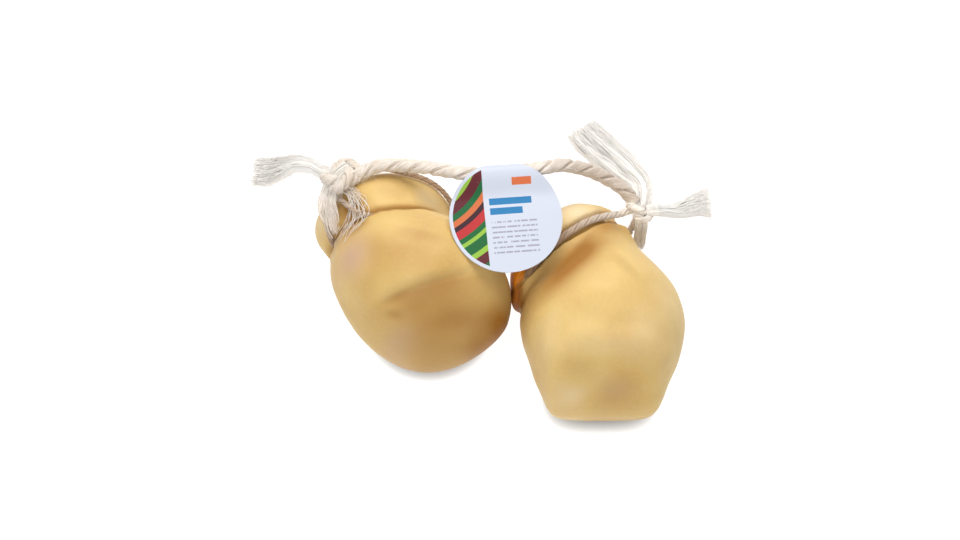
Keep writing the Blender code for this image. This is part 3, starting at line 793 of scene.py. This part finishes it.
def skin_height(x, y, skin):
    """Height of the skin under each (x, y): the highest of its points within LOOP_REACH."""
    over = skin[skin[:, 2] > UPPER_SIDE]
    away = np.hypot(over[:, 0] - x.reshape(-1, 1), over[:, 1] - y.reshape(-1, 1))
    return np.where(away < LOOP_REACH, over[:, 2], 0).max(axis=1).reshape(x.shape)


def thread_loops(skin, seed):
    """Lines of loops: (1-t)^2 start + 2t(1-t) swing + t^2 end, with a wave of their own.

    They are laid on the skin and stand off it most where they leave the knot.
    """
    draw = np.random.default_rng(seed)
    start, swing, end = (
        np.array(middle) + spread * draw.uniform(-1, 1, (LOOPS, 1, 2))
        for middle, spread in (LOOP_START, LOOP_SWING, LOOP_END)
    )
    t = np.linspace(0, 1, LOOP_RINGS)[:, None]
    flat = (1 - t) ** 2 * start + 2 * t * (1 - t) * swing + t**2 * end
    phase = draw.uniform(0, 2 * math.pi, (LOOPS, 1, 2))
    flat = flat + 0.5 * np.sin(2 * math.pi * t * draw.uniform(1, 3, (LOOPS, 1, 1)) + phase)
    t = t[:, 0]
    stand = 0.4 + 2.5 * (1 - t) ** 3 + draw.uniform(0, 1.6, (LOOPS, 1)) * np.sin(math.pi * t)
    height = skin_height(flat[..., 0], flat[..., 1], skin)
    blur = np.array([1, 2, 3, 2, 1]) / 9
    height = np.stack([np.convolve(np.pad(row, 2, mode="edge"), blur, mode="valid") for row in height])
    lines = np.concatenate([flat, (height + stand)[..., None]], axis=-1)
    return thin_tubes(lines, LOOP_THICK * (1 - 0.5 * t**2), LOOP_SIDES)


loops = shell("neck_threads", thread_loops(left_skin, 4), cotton, marks={"tone": -0.1})
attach(loops, "root")


# ---- The frayed ends ----
# Past each knot the cord is cut and its twist let out, so that its fibres open into flat, silky,
# ribbon-like tails. They run in locks that keep a soft wave from the twist, and their tips are uneven.
# Each is a row of sections (x, y, z, width, depth) from its knot to its tip.
TAILS = {
    "tail_left_out": (
        (-77.0, 52.5, 54.0, 6.0, 5.0),
        (-82.8, 55.8, 50.2, 6.5, 5.0),
        (-86.6, 60.2, 44.0, 7.5, 5.0),
        (-91.5, 65.6, 34.0, 9.0, 5.0),
        (-98.0, 70.6, 22.0, 11.0, 5.0),
        (-105.0, 72.8, 12.0, 13.5, 5.0),
        (-111.5, 73.8, 6.0, 14.8, 5.0),
        (-121.2, 74.6, 3.0, 14.8, 4.5),
    ),
    "tail_left_front": (
        (-69.0, 54.0, 59.5, 10.0, 3.0),
        (-75.0, 49.0, 58.0, 11.0, 3.5),
        (-78.6, 43.0, 53.5, 10.5, 3.5),
        (-79.4, 37.4, 53.2, 9.5, 3.5),
        (-78.4, 31.3, 53.2, 9.0, 3.0),
        (-76.6, 25.3, 54.4, 8.0, 2.5),
        (-74.2, 20.0, 58.0, 6.0, 2.5),
    ),
    "tail_right_up": (
        (66.6, 43.0, 37.0, 9.0, 5.0),
        (67.8, 48.6, 38.0, 11.0, 5.0),
        (66.8, 54.4, 37.0, 12.0, 5.5),
        (62.6, 61.0, 33.0, 14.5, 5.5),
        (58.2, 69.0, 26.5, 16.5, 5.5),
        (53.6, 76.6, 19.0, 17.5, 5.5),
        (49.4, 84.2, 12.0, 18.0, 5.5),
        (45.4, 91.0, 6.5, 17.5, 5.0),
        (40.4, 98.8, 3.2, 16.0, 4.5),
    ),
    "tail_right_out": (
        (69.5, 41.0, 37.5, 5.5, 4.0),
        (74.4, 41.6, 36.5, 6.0, 4.5),
        (78.4, 43.8, 30.0, 6.5, 4.5),
        (83.5, 47.6, 20.0, 7.5, 4.5),
        (90.1, 52.0, 11.0, 9.0, 4.5),
        (96.6, 56.3, 5.2, 12.0, 4.5),
        (102.0, 58.3, 3.0, 15.5, 4.0),
        (104.4, 58.7, 2.8, 17.0, 3.6),
    ),
    "tail_right_down": (
        (67.2, 39.0, 33.0, 6.0, 3.5),
        (67.8, 36.6, 28.0, 6.5, 3.5),
        (67.6, 34.2, 23.5, 6.0, 3.5),
        (67.4, 32.0, 18.5, 5.5, 3.5),
        (68.0, 30.4, 14.0, 4.5, 3.0),
    ),
}
TAIL_FACES = {"tail_left_front": (-0.5, 0.15, 0.85)}
# Fibres, locks, fibre thickness, how far the waves swing at the tip, the shortest lock's share of the
# length, and how clean they are at the knot and at the tip. The front left tail darkens towards its tip as
# painted shade over the crease.
TAIL_FIBRES = {
    "tail_left_out": (640, 80, 0.34, 0.5, 0.95, 0.8, 0.8),
    "tail_left_front": (170, 26, 0.3, 1.2, 0.6, 0.3, -0.4),
    "tail_right_up": (1100, 90, 0.36, 0.5, 0.95, 0.7, 0.8),
    "tail_right_out": (520, 50, 0.34, 0.4, 0.95, 0.7, 0.8),
    "tail_right_down": (260, 22, 0.34, 0.5, 0.9, 0.3, 0.1),
}
FIBRE_RINGS = 22
FIBRE_SIDES = 3


def tail_fibres(rows, face, count, locks, thick, wave, shortest, root, tip, seed):
    """Lines of fibres that fill a tail's section, gathered in locks, and a tone for each.

    A fibre keeps one place in the section, near its lock's. It swings about that place in a wave that
    its lock shares, wider towards the tip. It ends with its lock, at the shortest share or further on.
    """
    draw = np.random.default_rng(seed)
    dense = smooth_route(rows, FINE)
    run = chords(dense[:, :3])
    side, over = directions(dense[:, :3], face)
    columns = np.concatenate([dense, side, over], axis=1)
    lock = draw.integers(0, locks, count)
    across = draw.uniform(-1, 1, locks)
    above = draw.uniform(-1, 1, locks) * np.sqrt(1 - across**2)
    place = np.stack([across, above], axis=1)[lock]
    place = (place + 0.2 * draw.normal(size=(count, 2)).clip(-1.5, 1.5)).clip(-1, 1)
    end = run[-1] * (draw.uniform(shortest, 1.0, locks)[lock] - 0.04 * draw.uniform(0, 1, count) ** 2)
    t = np.linspace(0, 1, FIBRE_RINGS)
    at = t * end[:, None]
    read = np.stack([np.interp(at, run, column) for column in columns.T], axis=-1)
    length = draw.uniform(18, 30, locks)[lock]
    phase = draw.uniform(0, 2 * math.pi, (2, locks))[:, lock]
    swing = wave * t * (0.6 + 0.4 * draw.uniform(size=(count, 1)))
    sway = swing * np.sin(2 * math.pi * at / length[:, None] + phase[0][:, None])
    lift = 0.5 * swing * np.sin(2 * math.pi * at / length[:, None] + phase[1][:, None])
    half = read[..., 3:5] / 2 - thick
    across = half[..., 0] * place[:, :1] + sway
    above = half[..., 1] * place[:, 1:] + lift
    lines = read[..., :3] + across[..., None] * read[..., 5:8] + above[..., None] * read[..., 8:11]
    lines[..., 2] = np.maximum(lines[..., 2], thick / 2)
    tone = root + (tip - root) * t[:, None] + draw.uniform(-0.2, 0.2, (count, 1, 1))
    return thin_tubes(lines, thick * (1 - 0.4 * t**2), FIBRE_SIDES), tone


combed = unbleached_cotton("combed_cotton", 1.0, 0.05)
for seed, (name, rows) in enumerate(TAILS.items()):
    face = TAIL_FACES.get(name, (0, 0, 1))
    rings, tone = tail_fibres(rows, face, *TAIL_FIBRES[name], seed)
    tail = shell(name + "_fibres", rings, combed, marks={"tone": tone}, smooth=False)
    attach(tail, "root")
    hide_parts(name)


# ---- The tag ----
# A round tag of coated paper, folded over the cord at its top edge and glued to itself below. It is
# printed in flat colours: curved bands down its left edge, and plain bars and fine lines on white.
TAG_RADIUS = 25.9
TAG_DROP = 21.6
TAG_AT = (1.1, 47.2, 68.8)
TAG_ALONG = (0.990, 0.107, -0.095)
TAG_TILT = 5.0
PAPER = 0.25
SLEEVE = 3.5  # from the cord's middle to the middle of the paper round it
WEB = 13.0  # how far below the cord the leaves lie together
LEAF_GAP = 0.16
LEAF_STEPS = 90
FOLD_STEPS = 40
TAG_ACROSS = 60
TAG_BOW = 0.5  # how far the paper waves out of its plane
TAG_EDGE = 1.6  # white rim outside the bands
BANDS_END = -9.6  # x where the bands are cut off
BAND_CENTRE = (-44.0, 14.0, 0.0)
BAND_REPEAT = 27.0  # one set of the bands
BANDS = (  # where each ink starts, as a share of the set
    (0.0, "0b5f2c"),
    (0.17, "8db53f"),
    (0.26, "5c1822"),
    (0.42, "0c5f30"),
    (0.52, "c66838"),
    (0.62, "33101f"),
    (0.7, "b4292c"),
    (0.84, "0b5f2c"),
    (0.93, "8db53f"),
)
BARS = (  # two of blue and one of orange: from x to x and from y to y, with y from the round's middle
    (-7.0, 12.5, 6.2, 9.4, "2176aa"),
    (-7.0, 8.0, 1.6, 4.8, "2176aa"),
    (4.0, 13.0, 14.8, 18.2, "cf6b3f"),
)
LINE_PITCH = 2.4
LINE_SHARE = 0.34  # of the pitch that is ink
LINE_BOX = (-7.0, 14.0, -16.9, -0.2)


def tag_axes():
    """The tag's own directions: along the cord, up the paper towards the fold, and out of its face."""
    along = unit(np.array(TAG_ALONG))
    lean = math.radians(TAG_TILT)
    out = unit(np.cross(along, (0, math.cos(lean), math.sin(lean))))
    return np.stack([along, np.cross(out, along), out])


def tag_rings():
    """Rings round the folded paper, from the foot of the front leaf over the cord to the other foot.

    Down the paper the middle line is a leaf, half a circle over the cord, and the back leaf. A ring runs
    across the paper on one face and back on the other, as wide as the round outline is there.
    """
    foot = TAG_DROP + TAG_RADIUS
    y = -foot * (1 + np.cos(np.linspace(0, math.pi, LEAF_STEPS))) / 2
    blend = np.clip(1 + y / WEB, 0, 1)
    z = LEAF_GAP + (SLEEVE - LEAF_GAP) * blend**2 * (3 - 2 * blend)
    turn = np.linspace(0, math.pi, FOLD_STEPS)[1:-1]
    y = np.concatenate([y, SLEEVE * np.sin(turn), y[::-1]])
    z = np.concatenate([z, SLEEVE * np.cos(turn), -z[::-1]])
    line = np.stack([y, z], axis=1)
    ahead = unit(np.gradient(line, axis=0))
    normal = np.stack([-ahead[:, 1], ahead[:, 0]], axis=1)
    half = np.sqrt(np.maximum(TAG_RADIUS**2 - (y + TAG_DROP) ** 2, 0.01))
    t = np.sin(np.linspace(-math.pi / 2, math.pi / 2, TAG_ACROSS))
    x = half[:, None] * np.concatenate([t, t[::-1]])
    face = np.repeat([1.0, -1.0], TAG_ACROSS) * PAPER / 2
    y = y[:, None] + face * normal[:, :1]
    z = z[:, None] + face * normal[:, 1:]
    bow = TAG_BOW * np.sin(x / 19 + 0.6) * np.clip(-y / 20, 0, 1)
    front = np.broadcast_to(face > 0, x.shape) & (np.arange(len(x)) < LEAF_STEPS + FOLD_STEPS / 2)[:, None]
    return np.stack([x, y, z + bow], axis=-1), front


def coated_paper():
    """Coated paper in offset inks: smooth and faintly glossy, bluish white, with flat areas of colour."""
    material = bpy.data.materials.new("coated_paper")
    material.use_nodes = True
    tree = material.node_tree
    shader = tree.nodes["Principled BSDF"]
    white = linear("c6cbd8")
    flat = add(tree, "UVMap", {"uv_map": "print"}, {}).outputs["UV"]
    split = add(tree, "SeparateXYZ", {}, {0: flat})
    x = split.outputs[0]
    y = add(tree, "Math", {"operation": "ADD"}, {0: split.outputs[1], 1: TAG_DROP}).outputs[0]

    def printed(under, ink, share, *tests):
        """Ink over what is under it, in this share, at the places that pass every test."""
        for operation, value, limit in tests:
            passed = add(tree, "Math", {"operation": operation}, {0: value, 1: limit}).outputs[0]
            share = add(tree, "Math", {"operation": "MULTIPLY"}, {0: share, 1: passed}).outputs[0]
        return add(tree, "Mix", {"data_type": "RGBA"}, {0: share, 6: under, 7: ink}).outputs[2]

    def inside(left, right, low, high):
        across = ("GREATER_THAN", x, left), ("LESS_THAN", x, right)
        return *across, ("GREATER_THAN", y, low), ("LESS_THAN", y, high)

    # Curved bands: rings round a point off the tag's upper left, cut off straight on their right.
    from_point, from_middle = (
        add(tree, "VectorMath", {"operation": "DISTANCE"}, {0: flat, 1: point}).outputs["Value"]
        for point in (BAND_CENTRE, (0.0, -TAG_DROP, 0.0))
    )
    sets = add(tree, "Math", {"operation": "MULTIPLY"}, {0: from_point, 1: 1 / BAND_REPEAT}).outputs[0]
    bands = add(tree, "ValToRGB", {}, {0: add(tree, "Math", {"operation": "FRACT"}, {0: sets}).outputs[0]})
    ramp = bands.color_ramp
    ramp.interpolation = "CONSTANT"
    ramp.elements.remove(ramp.elements[1])
    ramp.elements[0].color = linear(BANDS[0][1])
    for start, ink in BANDS[1:]:
        ramp.elements.new(start).color = linear(ink)
    rim = ("LESS_THAN", from_middle, TAG_RADIUS - TAG_EDGE)
    tone = printed(white, bands.outputs["Color"], 1.0, ("LESS_THAN", x, BANDS_END), rim)
    for *box, ink in BARS:
        tone = printed(tone, linear(ink), 1.0, *inside(*box))
    # Fine lines, broken up along their length by a noise that differs from row to row.
    rows = add(tree, "Math", {"operation": "MULTIPLY"}, {0: y, 1: 1 / LINE_PITCH}).outputs[0]
    row, in_row = (
        add(tree, "Math", {"operation": operation}, {0: rows}).outputs[0] for operation in ("FLOOR", "FRACT")
    )
    strip = add(tree, "CombineXYZ", {}, {0: x, 1: row}).outputs[0]
    strip = add(tree, "Mapping", {}, {"Vector": strip, "Scale": (0.9, 7.3, 1.0)}).outputs[0]
    breaks = add(tree, "TexNoise", {}, {"Vector": strip, "Scale": 1.0, "Detail": 1.0}).outputs["Fac"]
    broken = ("LESS_THAN", in_row, LINE_SHARE), ("GREATER_THAN", breaks, 0.42)
    tone = printed(tone, linear("8b8794"), 0.75, *broken, *inside(*LINE_BOX))
    front = add(tree, "Attribute", {"attribute_name": "front"}, {}).outputs["Fac"]
    tone = printed(white, tone, 1.0, ("GREATER_THAN", front, 0.5))
    fibre = add(tree, "TexNoise", {}, {"Vector": flat, "Scale": 2.5, "Detail": 3.0})
    bump = add(tree, "Bump", {}, {"Strength": 0.08, "Distance": 0.1 * MM, "Height": fibre.outputs["Fac"]})
    tree.links.new(tone, shader.inputs["Base Color"])
    tree.links.new(bump.outputs["Normal"], shader.inputs["Normal"])
    shader.inputs["Roughness"].default_value = 0.5
    shader.inputs["IOR"].default_value = 1.5
    shader.inputs["Specular IOR Level"].default_value = 0.3
    return material


local, front = tag_rings()
placed = np.array(TAG_AT) + local @ tag_axes()
tag = shell("folded_tag", placed[None], coated_paper(), marks={"front": front[None].astype(float)})
flat = np.concatenate([local.reshape(-1, 3), local[[0, -1]].mean(axis=1)])[:, :2]
corner = np.zeros(len(tag.data.loops), int)
tag.data.loops.foreach_get("vertex_index", corner)
tag.data.uv_layers.new(name="print").data.foreach_set("uv", flat[corner].ravel())
tag.data.set_sharp_from_angle(angle=math.radians(50))
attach(tag, "root")
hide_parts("tag")


# ---- Floor, light and camera ----
# The pair lies on a plain pale floor, which glows and is darkened close under the cheeses as a painted
# contact shadow, under two broad, soft lights, the stronger from above and behind and the weaker from the
# front, with pale light from all round. The camera looks steeply down on it, as the photograph does.
CAMERA_AIM = (-8.6, 12.0, 35.0)
CAMERA_DISTANCE = 1058.0
CAMERA_ELEVATION = 70.0
CAMERA_LENS = 85.0
FLOOR_SIZE = 3000.0
CONTACT = 8.0  # how far from the cheeses the painted contact shadow reaches
SHADOW_END = (35.0, 50.0)  # y where that dark fades out, before the airy tails
SHADOW_POWER = 2.0
FLOOR_GLOW = 0.85
KEY = ((-20.0, 430.0, 660.0), 600.0, 4.75)  # place, width and power in watts
FILL = ((-150.0, -400.0, 800.0), 800.0, 3.0)

floor_mesh = bpy.data.meshes.new("floor")
reach = FLOOR_SIZE / 2 * MM
square = [(-reach, -reach, 0), (reach, -reach, 0), (reach, reach, 0), (-reach, reach, 0)]
floor_mesh.from_pydata(square, [], [(0, 1, 2, 3)])
floor = bpy.data.objects.new("floor", floor_mesh)
bpy.context.scene.collection.objects.link(floor)
paper_white = bpy.data.materials.new("white_sweep")
paper_white.use_nodes = True
tree = paper_white.node_tree
sweep = tree.nodes["Principled BSDF"]
sweep.inputs["Base Color"].default_value = linear("a0a0a0")
sweep.inputs["Roughness"].default_value = 0.9
sweep.inputs["Emission Color"].default_value = (1, 1, 1, 1)
# The floor glows to stay white, and its glow is dimmed by the open share of the sky there, to a power that
# falls to 0 behind the cheeses: a painted contact shadow close under them, left out under the airy tails.
open_share = add(tree, "AmbientOcclusion", {"samples": 8}, {"Distance": CONTACT * MM}).outputs["AO"]
on_floor = add(tree, "TexCoord", {}, {}).outputs["Object"]
behind = add(tree, "SeparateXYZ", {}, {0: on_floor}).outputs[1]
fade_start, fade_end = (y * MM for y in SHADOW_END)
fade = add(tree, "MapRange", {}, {0: behind, 1: fade_start, 2: fade_end, 3: SHADOW_POWER, 4: 0.0})
contact_shadow = add(tree, "Math", {"operation": "POWER"}, {0: open_share, 1: fade.outputs[0]}).outputs[0]
glow = add(tree, "Math", {"operation": "MULTIPLY"}, {0: contact_shadow, 1: FLOOR_GLOW})
tree.links.new(glow.outputs[0], sweep.inputs["Emission Strength"])
sweep.inputs["Specular IOR Level"].default_value = 0.1
floor_mesh.materials.append(paper_white)

for name, (place, width, power) in (("key", KEY), ("fill", FILL)):
    lamp = bpy.data.lights.new(name, "AREA")
    lamp.shape = "DISK"
    lamp.size = width * MM
    lamp.energy = power
    light = bpy.data.objects.new(name, lamp)
    light.location = Vector(place) * MM
    light.rotation_euler = (Vector(CAMERA_AIM) - Vector(place)).to_track_quat("-Z", "Y").to_euler()
    bpy.context.scene.collection.objects.link(light)

world = bpy.data.worlds.new("pale_room")
world.use_nodes = True
world.node_tree.nodes["Background"].inputs["Color"].default_value = (1, 1, 1, 1)
world.node_tree.nodes["Background"].inputs["Strength"].default_value = 0.44
bpy.context.scene.world = world
bpy.context.scene.view_settings.view_transform = "Standard"

lens = bpy.data.cameras.new("camera")
lens.lens = CAMERA_LENS
lens.clip_end = 10
camera = bpy.data.objects.new("camera", lens)
slope = math.radians(CAMERA_ELEVATION)
away = Vector((0, -math.cos(slope), math.sin(slope)))
camera.location = (Vector(CAMERA_AIM) + away * CAMERA_DISTANCE) * MM
camera.rotation_euler = (math.pi / 2 - slope, 0, 0)
bpy.context.scene.collection.objects.link(camera)
bpy.context.scene.camera = camera
